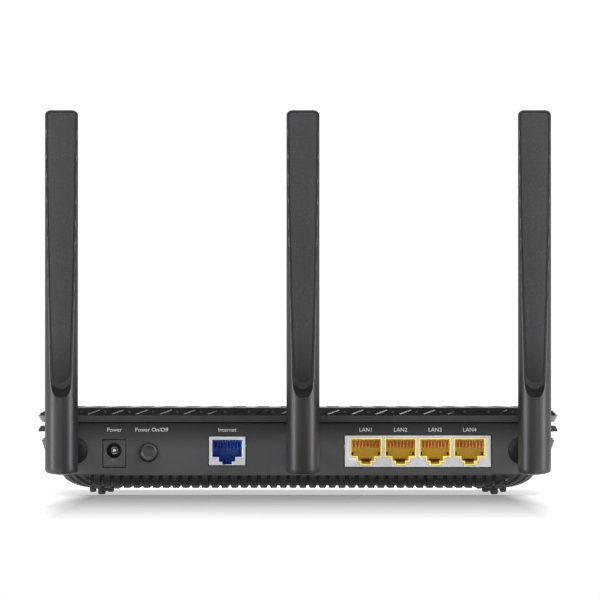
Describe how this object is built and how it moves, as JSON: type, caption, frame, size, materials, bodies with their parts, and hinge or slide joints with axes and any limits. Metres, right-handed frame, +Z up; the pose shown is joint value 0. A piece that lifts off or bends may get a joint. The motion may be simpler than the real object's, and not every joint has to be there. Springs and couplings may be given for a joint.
{
  "type": "wireless router",
  "caption": "Flat desktop wireless router with tilting rod antennas, a row of network sockets, a power socket and a push-button switch on its rear panel.",
  "frame": {"origin": "centre of the object's footprint, on the table the feet stand on", "axes": "+Z up, sockets and antennas at -Y, front at +Y, +X to the right when facing the sockets"},
  "size_m": [0.211, 0.18, 0.1551],
  "materials": {
    "casing": "fine matte texture, black",
    "cover": "polished black, faceted relief",
    "panel": "dark grey, fine matte texture",
    "antenna": "dark grey satin",
    "antenna_face": "dark grey, fine speckled matte",
    "chrome": "bright plated",
    "steel": "tinned or plated sheet",
    "heat_sink": "plain extruded",
    "rubber": "matte black",
    "board": "green solder mask",
    "chip": "moulded black",
    "gold": "gold-plated",
    "blue_plastic": "moulded blue",
    "yellow_plastic": "moulded yellow",
    "light_guide": "smoked clear plastic",
    "white_parts": "white",
    "insulation": "black sleeve"
  },
  "bodies": {
    "housing": {"bottom_case": "casing", "top_cover": "cover", "trim_band": "chrome", "rear_panel": "panel", "light_guide": "light_guide", "foot_rear_left": "rubber", "screw_rear_left": "steel", "foot_front_left": "rubber", "screw_front_left": "steel", "foot_rear_right": "rubber", "screw_rear_right": "steel", "foot_front_right": "rubber", "screw_front_right": "steel", "main_board": "board", "processor": "chip", "lan_transformer": "chip", "wan_transformer": "chip", "power_jack": "chip", "power_switch": "chip", "side_switch": "chip", "heat_sink": "heat_sink", "radio_shield_left": "steel", "radio_shield_right": "steel", "lan_jack_shield": "steel", "wan_jack_shield": "steel", "power_jack_pin": "steel", "status_leds": "white_parts", "lan_jack_housing_1": "yellow_plastic", "lan_jack_contacts_1": "gold", "lan_jack_housing_2": "yellow_plastic", "lan_jack_contacts_2": "gold", "lan_jack_housing_3": "yellow_plastic", "lan_jack_contacts_3": "gold", "lan_jack_housing_4": "yellow_plastic", "lan_jack_contacts_4": "gold", "wan_jack_housing": "blue_plastic", "wan_jack_contacts": "gold", "antenna_left_coax": "insulation", "antenna_middle_coax": "insulation", "antenna_right_coax": "insulation"},
    "power_button": {"power_button": "casing"},
    "side_button": {"side_button": "casing"},
    "left_swivel": {"antenna_left_knuckle": "casing", "antenna_left_nut": "steel", "antenna_left_hinge_pin": "steel"},
    "left_blade": {"antenna_left_shell": "antenna", "antenna_left_face": "antenna_face", "antenna_left_radiator": "board"},
    "middle_swivel": {"antenna_middle_knuckle": "casing", "antenna_middle_nut": "steel", "antenna_middle_hinge_pin": "steel"},
    "middle_blade": {"antenna_middle_shell": "antenna", "antenna_middle_face": "antenna_face", "antenna_middle_radiator": "board"},
    "right_swivel": {"antenna_right_knuckle": "casing", "antenna_right_nut": "steel", "antenna_right_hinge_pin": "steel"},
    "right_blade": {"antenna_right_shell": "antenna", "antenna_right_face": "antenna_face", "antenna_right_radiator": "board"}
  },
  "joints": [
    {"name": "power_button_press", "type": "slide", "parent": "housing", "child": "power_button", "axis": [0, 1, 0], "range_m": [0, 0.002], "stiffness_N_per_m": 300},
    {"name": "side_button_press", "type": "slide", "parent": "housing", "child": "side_button", "axis": [-1, 0, 0], "range_m": [0, 0.0008], "stiffness_N_per_m": 500},
    {"name": "left_antenna_swivel", "type": "hinge", "parent": "housing", "child": "left_swivel", "pos_m": [-0.0905, -0.08338, 0.0181], "axis": [0, 1, 0], "range_deg": [-90, 35]},
    {"name": "left_antenna_fold", "type": "hinge", "parent": "left_swivel", "child": "left_blade", "pos_m": [-0.0952, -0.08338, 0.0181], "axis": [1, 0, 0], "range_deg": [0, 90]},
    {"name": "middle_antenna_swivel", "type": "hinge", "parent": "housing", "child": "middle_swivel", "pos_m": [0.002, -0.08338, 0.0181], "axis": [0, 1, 0], "range_deg": [-35, 35]},
    {"name": "middle_antenna_fold", "type": "hinge", "parent": "middle_swivel", "child": "middle_blade", "pos_m": [0.002, -0.08338, 0.0181], "axis": [1, 0, 0], "range_deg": [0, 90]},
    {"name": "right_antenna_swivel", "type": "hinge", "parent": "housing", "child": "right_swivel", "pos_m": [0.0905, -0.08338, 0.0181], "axis": [0, 1, 0], "range_deg": [-35, 90]},
    {"name": "right_antenna_fold", "type": "hinge", "parent": "right_swivel", "child": "right_blade", "pos_m": [0.0952, -0.08338, 0.0181], "axis": [1, 0, 0], "range_deg": [0, 90]}
  ]
}
